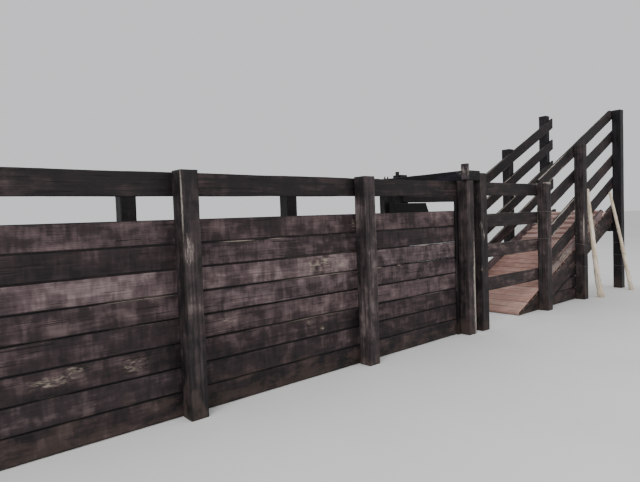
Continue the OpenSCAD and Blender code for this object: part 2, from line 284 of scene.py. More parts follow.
class RaceMetal(bpy.types.PropertyGroup):
    """Sizes of nails, bolts and wire."""

    nail_head: size("Nail head", 10, "Diameter of a nail's head")
    bolt: size("Bolt", 16, "Diameter of the beam's bolts")
    wire: size("Wire", 4, "Diameter of the tied wire")


class RaceStage(bpy.types.PropertyGroup):
    """Camera and light."""

    eye: bpy.props.FloatVectorProperty(
        name="Eye",
        description="Place of the camera",
        default=(-5.104, -4.113, 1.5),
        subtype="TRANSLATION",
    )
    turn: bpy.props.FloatVectorProperty(
        name="Turn",
        description="Turn towards the ramp, tilt up and roll of the camera",
        default=(math.radians(40.35), math.radians(-2.58), math.radians(-2.11)),
        subtype="EULER",
    )
    lens: bpy.props.FloatProperty(
        name="Lens",
        description="Focal length in mm on a sensor 36 mm wide",
        default=28.53,
    )
    sky: bpy.props.FloatProperty(
        name="Sky", description="Strength of the even light from all round", default=0.9
    )


def settings(name):
    """The scene's own group of settings."""
    return getattr(bpy.context.scene, name)


def add(tree, kind, *inputs, out=0, sockets=None, **options):
    """Adds one shader node with its options and inputs, and gives one output."""
    made = tree.nodes.new("ShaderNode" + kind)
    for key, value in options.items():
        setattr(made, key, value)
    for socket, value in [*enumerate(inputs), *(sockets or {}).items()]:
        if isinstance(value, bpy.types.NodeSocket):
            tree.links.new(value, made.inputs[socket])
        elif value is not None:
            made.inputs[socket].default_value = value
    return made.outputs[out] if made.outputs else None


def new_material(name):
    """An empty node material and its tree."""
    made = bpy.data.materials.new(name)
    made.use_nodes = True
    made.node_tree.nodes.clear()
    return made, made.node_tree


def set_stops(output, places, colours):
    """Colour stops of the colour ramp that an output belongs to."""
    elements = output.node.color_ramp.elements
    while len(elements) < len(places):
        elements.new(0.5)
    for element, place, value in zip(elements, places, colours):
        element.position = place
        element.color = value


# Patterns in a timber's own axes: size along the grain and across it in mm, detail,
# roughness, a shift that keeps them apart, and half the width of the step that
# sharpens them.
PATTERNS = {
    "fibre": (160, 5, 2, 0.50, 0.0, 0.30),  # real fibres are finer, at 5 mm they show
    "streak": (620, 22, 2, 0.50, 3.1, 0.20),  # early and late wood
    "saw": (30, 170, 1, 0.50, 5.3, 0.12),  # saw marks: real ones are 5 mm apart
    "drip": (95, 260, 2, 0.55, 7.7, 0.09),  # rain and brush marks across the board
    "patch": (230, 110, 4, 0.62, 9.9, 0.14),  # stain gone thin, as wide as a hand
    "cloud": (900, 420, 2, 0.50, 12.7, 0.20),  # slow change from end to end
    "crumb": (60, 18, 4, 0.68, 15.1, 0.26),  # smears of bare wood in a rubbed place
    "split": (420, 9, 2, 0.40, 18.3, 0.50),  # fine dry cracks
}

# Each finish: the property with its colours, then how much each pattern changes the
# wear, how far dirt and painted shade darken the long edges, and roughness from stained to
# worn.
FINISHES = {
    # Softwood sawn square and brushed with creosote: nearly black, a little brown,
    # with a faint sheen where the stain is whole.
    "creosoted_sawn_softwood": (
        "stained",
        {"patch": 0.28, "cloud": 0.20, "streak": 0.20, "fibre": 0.07, "drip": 0.08},
        0.40, (0.50, 0.85),
    ),
    # The same stain on boards that rain and cattle have worn to mauve and pinkish
    # grey, in uneven upright marks.
    "weathered_creosoted_boards": (
        "boards",
        {"patch": 0.28, "cloud": 0.22, "streak": 0.09, "drip": 0.18, "saw": 0.09},
        0.92, (0.62, 0.90),
    ),
    # Ramp planks trodden bare by hooves, pinkish brown with dried mud.
    "trodden_muddy_planks": (
        "planks",
        {"patch": 0.26, "cloud": 0.10, "streak": 0.14, "fibre": 0.06, "drip": 0.10},
        0.15, (0.80, 0.95),
    ),
    # Softwood poles peeled of their bark and bleached, cream grey and cracked.
    "peeled_bleached_pole_wood": (
        "poles",
        {"patch": 0.42, "cloud": 0.16, "streak": 0.30, "fibre": 0.10, "drip": 0.05},
        0.0, (0.70, 0.90),
    ),
}
SHADES = ("dark", "middle", "light", "worn")


def timber_patterns(tree, grain):
    """Every pattern in a timber's own axes, each from 0 to 1."""
    noise = {}
    for key, (along, across, detail, rough, shift, half) in PATTERNS.items():
        pace = (1 / (along * MM), 1 / (across * MM), 1 / (across * MM))
        moved = (shift, 1.7 * shift, 0.6 * shift)
        place = add(tree, "VectorMath", grain, pace, moved, operation="MULTIPLY_ADD")
        soft = add(tree, "TexNoise", place, None, 1.0, detail, rough)
        noise[key] = add(
            tree, "MapRange", soft, 0.5 - half, 0.5 + half, 0.0, 1.0,
            interpolation_type="SMOOTHSTEP",
        )
    return noise


def timber_finish(name):
    """Procedural material of one of the timber finishes."""
    kind, weights, edge_grime_and_shade, roughness = FINISHES[name]
    chosen = settings("race_colours")
    bare = getattr(chosen, kind + "_bare")
    made, tree = new_material(name)
    grain, board, wear = (
        add(tree, "Attribute", out=1, attribute_name=key)
        for key in ("grain", "board", "wear")
    )
    tone, warmth, edge = add(tree, "SeparateXYZ", board).node.outputs
    rubbed, corner, cut_end = add(tree, "SeparateXYZ", wear).node.outputs
    height = add(tree, "SeparateXYZ", add(tree, "NewGeometry")).node.outputs[2]
    noise = timber_patterns(tree, grain)

    # Wear adds up from the patterns.
    worn = add(tree, "Math", tone, -sum(weights.values()) / 2, operation="ADD")
    for key, weight in weights.items():
        worn = add(tree, "Math", noise[key], weight, worn, operation="MULTIPLY_ADD")
    stain = add(tree, "ValToRGB", worn)
    shades = [getattr(chosen, f"{kind}_{shade}") for shade in SHADES]
    set_stops(stain, (0.0, 0.36, 0.68, 1.0), shades)

    # Growth rings, 12 mm apart: real ones are closer. Unscaled they are pi / 10 apart.
    stretched = add(tree, "VectorMath", grain, (0.12, 1.0, 1.0), operation="MULTIPLY")
    rings = add(
        tree, "TexWave", stretched, math.pi / (10 * 12 * MM), 5.0, 3.0, 0.6,
        out=1, wave_type="RINGS", rings_direction="X",
    )

    # Knots some 35 mm across, in one cell of six.
    place = add(tree, "VectorMath", grain, (4.0, 7.0, 5.0), operation="MULTIPLY")
    cell = add(tree, "TexVoronoi", place, None, 1.0).node.outputs
    picked = add(tree, "SeparateColor", cell[1])
    picked = add(tree, "Math", picked, 0.84, operation="GREATER_THAN")
    knot = add(tree, "MapRange", cell[0], 0.17, 0.09, 0.0, 1.0)
    knot = add(tree, "Math", knot, picked, operation="MULTIPLY")
    dark_place = add(tree, "Math", rubbed, -1.0, operation="MULTIPLY", use_clamp=True)
    knot = add(tree, "Math", knot, dark_place, operation="MAXIMUM")

    # Pale corners: a ragged strip, the wider the more the corner is worn.
    reach = add(tree, "Math", corner, 7 * MM, 1 * MM, operation="MULTIPLY_ADD")
    reach = add(tree, "Math", reach, noise["crumb"], operation="MULTIPLY")
    strip = add(tree, "Math", edge, reach, operation="DIVIDE")
    strip = add(tree, "MapRange", strip, 1.6, 0.6, 0.0, 1.0)
    worth = add(tree, "MapRange", corner, 0.30, 1.30, 0.0, 0.85)
    strip = add(tree, "Math", strip, worth, operation="MULTIPLY")

    # Rubbed places: smears of bare wood, closer where the rubbing is stronger.
    crumbs = add(tree, "Math", rubbed, 0.50, noise["crumb"], operation="MULTIPLY_ADD")
    crumbs = add(tree, "MapRange", crumbs, 0.62, 1.25, 0.0, 0.80)
    here = add(tree, "MapRange", rubbed, 0.0, 0.3, 0.0, 1.0)
    crumbs = add(tree, "Math", crumbs, here, operation="MULTIPLY")

    # Dirt and pooled stain along the long edges, with painted shade in the seams between
    # boards; thin splits, earth splashed up to some 100 mm above the ground.
    seam_dirt_and_shade = add(tree, "MapRange", edge, 10 * MM, 2 * MM, 0.0, edge_grime_and_shade)
    split = add(tree, "MapRange", noise["split"], 0.27, 0.19, 0.0, 0.75)
    splash = add(tree, "Math", noise["patch"], -0.3, height, operation="MULTIPLY_ADD")
    splash = add(tree, "MapRange", splash, 0.06, -0.14, 0.0, 0.30)

    # Layers over the stain: where, how much of it, its colour and how it goes on.
    layers = (
        (warmth, 0.40, "e9cfc8", "MULTIPLY"),
        (warmth, -0.50, "b4bcec", "MULTIPLY"),
        (rings, 0.20, "2a2120", "MULTIPLY"),
        (split, 1.0, "080707", "MIX"),
        (knot, 0.70, "120d0c", "MIX"),
        # Near black along the long edges: dirt, and painted shade in the seams.
        (seam_dirt_and_shade, 1.0, "0b0909", "MIX"),
        (strip, 1.0, bare, "MIX"),
        (crumbs, 1.0, bare, "MIX"),
        (cut_end, 0.93, "342f2c", "MULTIPLY"),
        (splash, 1.0, "4a3d33", "MIX"),
    )
    for where, amount, over, blend in layers:
        factor = add(tree, "Math", where, amount, operation="MULTIPLY")
        over = linear(over) if isinstance(over, str) else tuple(over)
        stain = add(
            tree, "Mix", out=2, data_type="RGBA", blend_type=blend,
            sockets={0: factor, 6: stain, 7: over},
        )

    # Relief: what stands up (above 0) or is sunk (below 0).
    relief = add(tree, "Math", split, -1.2, operation="MULTIPLY")
    parts = (
        (noise["fibre"], 0.12), (noise["streak"], 0.20), (noise["saw"], 0.20),
        (noise["crumb"], 0.20), (rings, 0.1), (knot, 0.5), (strip, -0.4),
    )
    for part, weight in parts:
        relief = add(tree, "Math", part, weight, relief, operation="MULTIPLY_ADD")
    normal = add(tree, "Bump", 0.9, 2.4 * MM, sockets={"Height": relief})
    matt = add(tree, "MapRange", worn, 0.0, 0.8, *roughness)
    shader = add(
        tree, "BsdfPrincipled",
        sockets={
            "Base Color": stain, "Roughness": matt, "Normal": normal,
            "Specular IOR Level": 0.25,
        },
    )
    add(tree, "OutputMaterial", shader)
    return made


# Steel parts: base and bloom colours, and roughness.
METALS = {
    # Hot-rolled steel nails and bolts, rusted to a dark red brown.
    "rusted_mild_steel": ("241a16", "4a3024", 0.75),
    # Zinc-coated soft wire gone dull, light grey with a soft sheen.
    "dull_galvanised_wire": ("5c5a57", "8c8984", 0.55),
}


def metal_finish(name):
    """Steel mottled some 3 mm apart by rust or white zinc bloom."""
    base, bloom, roughness = METALS[name]
    made, tree = new_material(name)
    place = add(tree, "TexCoord", out=3)
    mottle = add(tree, "TexNoise", place, None, 1 / (3 * MM), 3.0)
    tint = add(tree, "ValToRGB", mottle)
    set_stops(tint, (0.35, 0.65), (linear(base), linear(bloom)))
    normal = add(tree, "Bump", 0.5, 0.3 * MM, sockets={"Height": mottle})
    shader = add(
        tree, "BsdfPrincipled",
        sockets={
            "Base Color": tint, "Metallic": 0.6, "Roughness": roughness, "Normal": normal,
        },
    )
    add(tree, "OutputMaterial", shader)
    return made


def finish(name):
    """One shared material for each kind of surface."""
    if name in bpy.data.materials:
        return bpy.data.materials[name]
    return metal_finish(name) if name in METALS else timber_finish(name)


WAVES = 6  # plane waves that add up to one smooth noise


def unit(way):
    """A direction with the length 1."""
    return way / np.linalg.norm(way)


def swell(points, seed, length):
    """Smooth noise of about -1 to 1 at points (n, 3), some `length` metres long."""
    rng = np.random.default_rng(seed)
    total = np.zeros(len(points))
    for _ in range(WAVES):
        way = unit(rng.normal(size=3))
        pace = 2 * math.pi / length * rng.uniform(0.6, 1.5)
        total += np.sin(points @ way * pace + rng.uniform(0, 2 * math.pi))
    return total / WAVES**0.5 / 1.4


def strength_at(points, places, power=2):
    """How strongly places reach each point. Where several do, the strongest counts."""
    total = np.zeros(len(points))
    for x, y, z, rx, ry, rz, strength in places:
        away = np.linalg.norm((points - (x, y, z)) / (rx, ry, rz), axis=1)
        value = strength * np.exp(-(away**power))
        total = np.where(np.abs(value) > np.abs(total), value, total)
    return total


Solid = namedtuple("Solid", "corners edges")
ON_FACE = 1e-4  # corners this close to a face's level lie on it, in m


def solids_of(node):
    """The separate solids of a CAD node, lowest first."""
    bm = bmesh.new()
    bm.from_mesh(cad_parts[node].data)
    # Triangles are joined to flat faces, so that only real edges are left.
    bmesh.ops.remove_doubles(bm, verts=bm.verts, dist=1e-5)
    bmesh.ops.dissolve_limit(bm, angle_limit=0.02, verts=bm.verts, edges=bm.edges)
    seen, solids = set(), []
    for first in bm.verts:
        if first in seen:
            continue
        group, todo = [], [first]
        seen.add(first)
        while todo:
            vert = todo.pop()
            group.append(vert)
            for edge in vert.link_edges:
                other = edge.other_vert(vert)
                if other not in seen:
                    seen.add(other)
                    todo.append(other)
        place = {vert: i for i, vert in enumerate(group)}
        edges = {
            tuple(sorted(place[end] for end in edge.verts))
            for vert in group
            for edge in vert.link_edges
        }
        solids.append(Solid(np.array([vert.co for vert in group]), sorted(edges)))
    bm.free()
    solids.sort(key=lambda solid: tuple(np.round(solid.corners.mean(0)[[2, 0, 1]], 3)))
    return solids


def upright_keys(solid):
    """End sections of an upright timber."""
    lo, hi = solid.corners.min(0), solid.corners.max(0)
    ring = ((lo[0], lo[1]), (hi[0], lo[1]), (hi[0], hi[1]), (lo[0], hi[1]))
    return [np.array([(x, y, z) for x, y in ring]) for z in (lo[2], hi[2])]


def plumb_keys(solid):
    """Plumb sections of a board, wherever its side outline turns or steps."""
    corners = solid.corners
    near, far = corners[:, 1].min(), corners[:, 1].max()
    outline = [
        (corners[a], corners[b])
        for a, b in solid.edges
        if max(corners[a][1], corners[b][1]) - near < ON_FACE
    ]
    turns = sorted({round(float(x), 5) for x in corners[:, 0]})
    # A turn is measured a hair before and after it, and the two sides of a step are
    # drawn a small gap apart, both in m.
    hair, gap = 2e-5, 4e-4
    keys = []
    for i, x in enumerate(turns):
        places = [x + hair] if i == 0 else [x - hair, x + hair]
        spans = []
        for place in places[: 1 if i == len(turns) - 1 else 2]:
            heights = [
                p[2] + (q[2] - p[2]) * (place - p[0]) / (q[0] - p[0])
                for p, q in outline
                if min(p[0], q[0]) < place < max(p[0], q[0])
            ]
            spans.append((min(heights), max(max(heights), min(heights) + MM)))
        if len(spans) == 2 and np.abs(np.subtract(*spans)).sum() < MM:
            spans = spans[:1]
        for k, (low, high) in enumerate(spans):
            ring = ((near, low), (near, high), (far, high), (far, low))
            keys.append(np.array([(x + k * gap, y, z) for y, z in ring]))
    return keys


def cross_keys(solid):
    """End sections of a timber that lies across the race."""
    corners = solid.corners
    near, far = corners[:, 1].min(), corners[:, 1].max()
    ring = corners[np.abs(corners[:, 1] - near) < ON_FACE][:, [0, 2]]
    away = ring - ring.mean(0)
    ring = ring[np.argsort(np.arctan2(away[:, 1], away[:, 0]))]
    if np.linalg.norm(ring[1] - ring[0]) < np.linalg.norm(ring[2] - ring[1]):
        ring = np.roll(ring, -1, axis=0)
    return [np.array([(x, y, z) for x, z in ring]) for y in (near, far)]


# A cross section's four corners in shares of its width and depth, and for the side
# that starts at each of them the way on and the way outward.
CORNERS = np.array([(0, 0), (1, 0), (1, 1), (0, 1)], float)
ONWARD = np.array([(1, 0), (0, 1), (-1, 0), (0, -1)], float)
OUTWARD = np.array([(0, -1), (1, 0), (0, 1), (-1, 0)], float)

# How timber is worked, lengths in m.
END_ROUND = 3.5 * MM  # radius round a sawn end
CAPS = (0.34, 0.70, 1.0)  # size of the rings that close an end, from its middle out
NO_CAP = 2.0
STEP_GAP = 1.5 * MM  # key sections this close are the two sides of a step
CRACK_HALF = 3.0 * MM  # half the width of a crack's mouth
CORNER_IN = 0.29  # share of its radius that a round corner lies in from the sharp one
CUT_EDGE = 0.03  # distance from an edge that a cut end counts as, clear of the dirt and painted shade

# What is added to a timber's seed, so that its noises differ from each other.
STRAY_SEED, BEND_SEED, OPENING_SEED = 31, 41, 51
EDGE_SEED, FACE_SEED, SAW_SEED, CORNER_SEED = 61, 63, 71, 5


def ring_plan(width, depth, row, cracks):
    """Points round a cross section, one row each.

    Columns: share of width and depth, shift in corner radii, corner, outward way,
    side, share along the side, and the crack that the point is the bottom of.
    """
    plan = []
    for side in range(4):
        reach = width if side % 2 == 0 else depth
        count = max(1, round(reach / row))
        shares = [(i / count, -1) for i in range(1, count)]
        for index, crack in enumerate(cracks):
            if crack[0] == side:
                # Rows too close to a crack give way to its bottom and two lips.
                half = CRACK_HALF / reach
                shares = [s for s in shares if abs(s[0] - crack[1]) > 2.2 * half]
                shares += [(crack[1] - half, -1), (crack[1], index), (crack[1] + half, -1)]
        on, out, after = ONWARD[side], OUTWARD[side], (side + 1) % 4
        plan.append((*CORNERS[side], *on, side, *out, side, 0.0, -1))
        for share, index in sorted(shares):
            at = CORNERS[side] + on * share
            plan.append((*at, 0, 0, side, *out, side, share, index))
        plan.append((*CORNERS[after], *-on, after, *out, side, 1.0, -1))
        # The middle of the rounded corner, between this side and the next.
        inward = (ONWARD[after] - on) * CORNER_IN
        both = (out + OUTWARD[after]) * 0.7
        plan.append((*CORNERS[after], *inward, after, *both, side, 1.0, -1))
    return np.array(plan)


def closed(rings):
    """The points of all rings, then the middles of the first and the last."""
    return np.concatenate([*rings, [rings[0].mean(0)], [rings[-1].mean(0)]])


def tube_faces(count, ring):
    """Quads round `count` rings, and triangles to the two middles after them."""
    index = np.arange(count * ring).reshape(count, ring)
    after = np.roll(index, -1, axis=1)
    quads = np.stack([index[:-1], after[:-1], after[1:], index[1:]], axis=-1)
    tris = [
        np.stack([after[0], index[0], np.full(ring, count * ring)], axis=-1),
        np.stack([index[-1], after[-1], np.full(ring, count * ring + 1)], axis=-1),
    ]
    return quads.reshape(-1, 4), np.concatenate(tris)


def depths(points, amount, seed, length, fine_length, fine_share):
    """How deep a worked surface lies under a true one, some `amount` metres."""
    flat = points.reshape(-1, 3)
    total = 0.5 + 0.5 * swell(flat, seed, length)
    total += fine_share * (0.5 + 0.5 * swell(flat, seed + 1, fine_length))
    return amount * total.clip(0).reshape(points.shape[:2])


def timber(keys, seed, corner, row, wander, cracks=()):
    """One worked timber swept through its key sections.

    Gives its shape (verts, quads, tris, grain), then how far each point is from a
    long edge, and whether it is on a cut end.
    """
    sizes = settings("race_timber")
    step = sizes.step * COARSER
    keys = np.array(keys)
    width = np.linalg.norm(keys[:, 1] - keys[:, 0], axis=1).max()
    depth = np.linalg.norm(keys[:, 3] - keys[:, 0], axis=1).max()
    plan = ring_plan(width, depth, row, cracks)
    at_b, at_c, in_b, in_c, corner_of, out_b, out_c, side, side_share, bottom = plan.T
    at_corner = (in_b != 0) | (in_c != 0)
    end_round = min(END_ROUND, 0.2 * min(width, depth))

    sections = []
    for key, after in zip(keys, keys[1:]):
        gap = np.linalg.norm(after.mean(0) - key.mean(0))
        count = max(1, round(gap / step)) if gap > STEP_GAP else 1
        sections += [key + (after - key) * k / count for k in range(count)]
    sections = np.array([*sections, keys[-1]])
    first, last = sections[0].copy(), sections[-1].copy()
    for end, inner, sharp in ((0, 1, first), (-1, -2, last)):
        gap = np.linalg.norm(sections[inner].mean(0) - sharp.mean(0))
        sections[end] = sharp + (sections[inner] - sharp) * min(0.4, end_round / gap)

    # Smaller rings close each end.
    corners = np.concatenate([[first] * len(CAPS), sections, [last] * len(CAPS)])
    shrink = np.concatenate([CAPS, np.full(len(sections), NO_CAP), CAPS[::-1]])
    is_cap = shrink != NO_CAP
    along = unit(last.mean(0) - first.mean(0))
    middle = keys[len(keys) // 2]
    thick = unit(middle[3] - middle[0])
    wide = np.cross(thick, along)

    # The long corners' radii swell and shrink along the timber, between 0.3 of their
    # size and 0.3 of the timber's thickness.
    across_b = corners[:, 1] - corners[:, 0]
    across_c = corners[:, 3] - corners[:, 0]
    span_b = np.linalg.norm(across_b, axis=1)
    span_c = np.linalg.norm(across_c, axis=1)
    centres = corners.mean(1)
    radii = [1.0 + 0.55 * swell(centres + 7.0 * k, seed + k, 0.35) for k in range(4)]
    radii = np.clip(corner * np.stack(radii, axis=1), 0.3 * corner, None)
    radii = np.minimum(radii, 0.3 * np.minimum(span_b, span_c)[:, None])
    chosen = radii[:, corner_of.astype(int)]
    share_b = at_b + in_b * chosen / span_b[:, None]
    share_c = at_c + in_c * chosen / span_c[:, None]

    # Cracks stray some 9 mm from their line, with bends of 4 mm on it, and take the
    # surface near them along. They taper out over 0.25 m at their ends.
    sunk = np.zeros_like(share_b)
    level = (centres - first.mean(0)) @ along
    for index, (crack_side, crack_share, start, end, deep) in enumerate(cracks):
        reach = width if crack_side % 2 == 0 else depth
        stray = 9 * swell(centres, seed + STRAY_SEED + index, 0.5)
        stray += 4 * swell(centres, seed + BEND_SEED + index, 0.12)
        near = np.exp(-(((side_share - crack_share) * reach / 0.035) ** 2))
        near *= (side == crack_side) & ~at_corner
        shift = stray[:, None] * MM * near / reach
        share_b += shift * ONWARD[crack_side][0]
        share_c += shift * ONWARD[crack_side][1]
        is_open = np.clip(np.minimum(level - start, end - level) / 0.25, 0, 1) ** 0.6
        is_open *= 0.75 + 0.25 * swell(centres, seed + OPENING_SEED + index, 0.1)
        sunk += np.outer(is_open, bottom == index) * deep * MM

    for share, span in ((share_b, span_b), (share_c, span_c)):
        edge_ring = 1 - 2 * end_round / np.maximum(span, 4 * end_round)
        scale = np.where(is_cap, np.where(shrink == 1.0, edge_ring, shrink), 1.0)
        share[:] = 0.5 + (share - 0.5) * scale[:, None]
    b, c = share_b[..., None], share_c[..., None]
    p, q, r, s = (corners[:, None, k] for k in range(4))
    points = (1 - c) * ((1 - b) * p + b * q) + c * ((1 - b) * s + b * r)

    # Faces wave and edges stray, inwards only, so that neighbours stay clear. A board
    # that runs out to under 5 mm keeps the whole timber's direction.
    way_b = np.where(span_b[:, None] < 5 * MM, wide, across_b / span_b[:, None])
    way_c = across_c / span_c[:, None]
    edge_depth = depths(points, wander, seed + EDGE_SEED, 0.55, 0.12, 0.25)
    edge_depth *= (np.minimum(1, span_b / 0.05) * np.where(is_cap, 0.5, 1))[:, None]
    face_depth = depths(points, sizes.face_wave, seed + FACE_SEED, 0.40, 0.07, 0.3)
    # The saw leaves the ends uneven by some 1.6 mm.
    saw_cut = depths(points, 1.6 * MM, seed + SAW_SEED, 0.05, 0.02, 0.2) * is_cap[:, None]
    saw_cut[len(saw_cut) // 2 :] *= -1
    push_b = ((edge_depth + sunk * np.abs(out_b)) * out_b)[..., None]
    push_c = ((face_depth + sunk * np.abs(out_c)) * out_c)[..., None]
    points = points - push_b * way_b[:, None] - push_c * way_c[:, None]
    points = points + saw_cut[..., None] * along

    # The grain runs round a pith of its own, which lies in the timber or beside it.
    rng = np.random.default_rng(seed)
    verts = closed(points)
    local = verts - first.mean(0)
    pith = rng.uniform(-0.5, 0.5, 2) * (width, depth * 2.5)
    travel = local @ along + rng.uniform(3, 40)
    grain = np.stack([travel, local @ wide - pith[0], local @ thick - pith[1]], axis=1)
    # On a board's outer face the dark band is wider along the lower edge than the upper:
    # painted shade under each board.
    lower, upper = (np.where(side == 0, weight, 1.0) for weight in (0.8, 1.7))
    to_edge = np.minimum(side_share * lower, (1 - side_share) * upper)
    to_edge = to_edge * np.where(side % 2 == 0, width, depth)
    to_edge = np.where(at_corner, 0.3 * corner * (out_b * out_c == 0), to_edge)
    count, ring = share_b.shape
    cut = np.append(np.repeat(is_cap, ring), [True, True])
    edge = np.where(cut, CUT_EDGE, np.append(np.tile(to_edge, count), [0, 0]))
    return (verts, *tube_faces(count, ring), grain), edge, cut


def marked(shape, tone, warmth, edge, rubbed=0.0, corner=0.0, cut=0.0):
    """A part with what the timber finishes read at each of its points."""
    verts, quads, tris, grain = shape
    each = np.ones(len(verts))
    board = np.stack([tone * each, warmth * each, edge * each], axis=1)
    wear = np.stack([rubbed * each, corner * each, cut * each], axis=1)
    return verts, quads, tris, {"grain": grain, "board": board, "wear": wear}


def make_object(name, parts, material, slot, replaced=None):
    """A piece out of (verts, quads, tris, attributes) parts, riding on the race."""
    verts, quads, tris, data, offset = [], [], [], {}, 0
    for points, part_quads, part_tris, attributes in parts:
        # A part whose faces look inwards is turned round.
        halves = [part_quads[:, three] for three in ([0, 1, 2], [0, 2, 3])]
        fans = np.concatenate([*halves, part_tris])
        a, b, c = (points[fans[:, i]] - points.mean(0) for i in range(3))
        if np.einsum("ij,ij->", a, np.cross(b, c)) < 0:
            part_quads, part_tris = part_quads[:, ::-1], part_tris[:, ::-1]
        verts.append(points)
        quads.append(part_quads + offset)
        tris.append(part_tris + offset)
        offset += len(points)
        for key, value in attributes.items():
            data.setdefault(key, []).append(value)
    quads, tris = np.concatenate(quads), np.concatenate(tris)
    mesh = bpy.data.meshes.new(name)
    mesh.vertices.add(offset)
    mesh.vertices.foreach_set("co", np.concatenate(verts).astype(np.float32).ravel())
    loops = np.concatenate([quads.ravel(), tris.ravel()]).astype(np.int32)
    sides = np.repeat([4, 3], [len(quads), len(tris)])
    mesh.loops.add(len(loops))
    mesh.loops.foreach_set("vertex_index", loops)
    mesh.polygons.add(len(sides))
    mesh.polygons.foreach_set("loop_start", (np.cumsum(sides) - sides).astype(np.int32))
    mesh.update(calc_edges=True)
    mesh.shade_smooth()
    for key, value in data.items():
        layer = mesh.attributes.new(key, "FLOAT_VECTOR", "POINT")
        layer.data.foreach_set("vector", np.concatenate(value).astype(np.float32).ravel())
    mesh.materials.append(finish(material))
    made = bpy.data.objects.new(name, mesh)
    bpy.context.scene.collection.objects.link(made)
    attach(made, "root")
    if replaced:
        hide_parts(replaced)
    return made


def dress(
    node, keys_of, material, slot,
    tones=None, corner=None, wander=None, warm=(0.0, 1.0), cracks=(), split=0.0,
):
    """Replaces a CAD node by worked timber on the node's own solids.

    `warm` is how brown its timbers are, below 0 bluish, and `split` the share of
    them that get a long drying crack of their own.
    """
    sizes = settings("race_timber")
    seed = zlib.crc32(node.encode())
    rng = np.random.default_rng(seed)
    parts = []
    for number, solid in enumerate(solids_of(node)):
        # A crack of its own, as in CRACKS: on the outer side and 5 mm deep.
        start, run = rng.uniform(0.0, 1.2), rng.uniform(0.4, 0.9)
        own = ((0, rng.uniform(0.25, 0.75), start, start + run, 5.0),)
        shape, edge, cut = timber(
            keys_of(solid), seed + 100 * number, corner or sizes.board_corner,
            sizes.row * COARSER, wander or sizes.edge_wander,
            own if rng.uniform() < split else cracks,
        )
        verts = shape[0]
        tone = rng.uniform(0.15, 0.55) if tones is None else tones[number]
        tone = tone + strength_at(verts, TONE_PLACES, power=4)
        rubbed = strength_at(verts, BARE_PLACES)
        # All corners are worn a little, some stretches more.
        corner_wear = 0.16 + 0.28 * swell(verts, seed + CORNER_SEED, 0.5)
        corner_wear += strength_at(verts, WORN_CORNERS)
        warmth = rng.uniform(*warm)
        parts.append(marked(shape, tone, warmth, edge, rubbed, corner_wear.clip(0, 8), cut))
    make_object("timber_" + node, parts, material, slot, node)


def circle(sides):
    """Cosines and sines of even steps round a circle."""
    turns = np.arange(sides) / sides * 2 * math.pi
    return np.cos(turns), np.sin(turns)


def tube(path, radii, sides):
    """A round bar along a path, closed at both ends: verts, quads, tris, grain."""
    path, radii = np.array(path, float), np.array(radii, float)
    ways = np.gradient(path, axis=0)
    ways /= np.linalg.norm(ways, axis=1)[:, None]
    side = np.cross(ways[0], (0.3, 1.0, 0.2))
    round_b, round_c = circle(sides)
    rings = []
    for point, way, radius in zip(path, ways, radii):
        side = unit(side - way * (side @ way))
        other = np.cross(way, side)
        rings.append(point + radius * (np.outer(round_b, side) + np.outer(round_c, other)))
    travel = np.linalg.norm(np.diff(path, axis=0), axis=1).cumsum()
    wide = np.repeat(radii, sides)
    grain = [np.tile(way, len(path)) * wide for way in (round_b, round_c)]
    grain = np.stack([np.repeat([0.0, *travel], sides), *grain], axis=1)
    grain = np.concatenate([grain, grain[[0, -1]] * (1, 0, 0)])
    return closed(rings), *tube_faces(len(path), sides), grain


def smooth_path(points, count):
    """A smooth curve through points, with `count` places from each to the next."""
    points = np.array(points, float)
    padded = [2 * points[0] - points[1], *points, 2 * points[-1] - points[-2]]
    made = []
    for i in range(len(points) - 1):
        a, b, c, d = padded[i : i + 4]
        for t in np.linspace(0, 1, count, endpoint=i == len(points) - 2):
            bend = (2 * a - 5 * b + 4 * c - d) * t**2 + (3 * b - a - 3 * c + d) * t**3
            made.append(0.5 * (2 * b + (c - a) * t + bend))
    return np.array(made)


def dome_heads(spots, diameter, height):
    """Parts for small domed heads at (place, outward) spots."""
    # Share of the radius and of the height, from under the surface to the top.
    profile = ((1.0, -1.0), (1.0, 0.35), (0.72, 0.85), (0.3, 1.0))
    round_b, round_c = circle(8)
    faces = tube_faces(len(profile), len(round_b))
    parts = []
    for place, outward in spots:
        place, outward = np.array(place), np.array(outward, float)
        side = unit(np.cross(outward, (0.1, 0.3, 1.0)))
        disc = np.outer(round_b, side) + np.outer(round_c, np.cross(outward, side))
        rings = [
            place + outward * height * up + diameter / 2 * wide * disc
            for wide, up in profile
        ]
        parts.append((closed(rings), *faces, {}))
    return parts


class RACE_OT_posts(bpy.types.Operator):
    """Square posts with worn corners and long drying cracks"""

    bl_idname = "cattle_race.posts"
    bl_label = "Posts"

    def execute(self, context):
        corner = settings("race_timber").post_corner
        for row in ROWS:
            for i in POSTS:
                node = f"{row}_post_{i}"
                dress(
                    node, upright_keys, *STAINED, corner=corner,
                    tones=(NEAR_POST_TONES[i] if row == "near" else FAR_POST_TONE,),
                    warm=(-1.0, -0.8) if i == END_POST else (-0.1, 0.3),
                    cracks=CRACKS.get(node, PLAIN_CRACK),
                )
        return {"FINISHED"}


class RACE_OT_walls(bpy.types.Operator):
    """Close boards of the race and the battens over their ends"""

    bl_idname = "cattle_race.walls"
    bl_label = "Wall boards"

    def execute(self, context):
        wander = settings("race_timber").wall_wander
        for row in ROWS:
            for i in BAYS:
                node = f"{row}_boards_{i}"
                dress(
                    node, plumb_keys, *WEATHERED, tones=WALL_WEAR.get(node),
                    corner=4 * MM, wander=wander, warm=(0.1, 0.9), split=0.5,
                )
        dress("gate_battens", upright_keys, *STAINED, tones=(0.12, 0.12), corner=3 * MM)
        return {"FINISHED"}


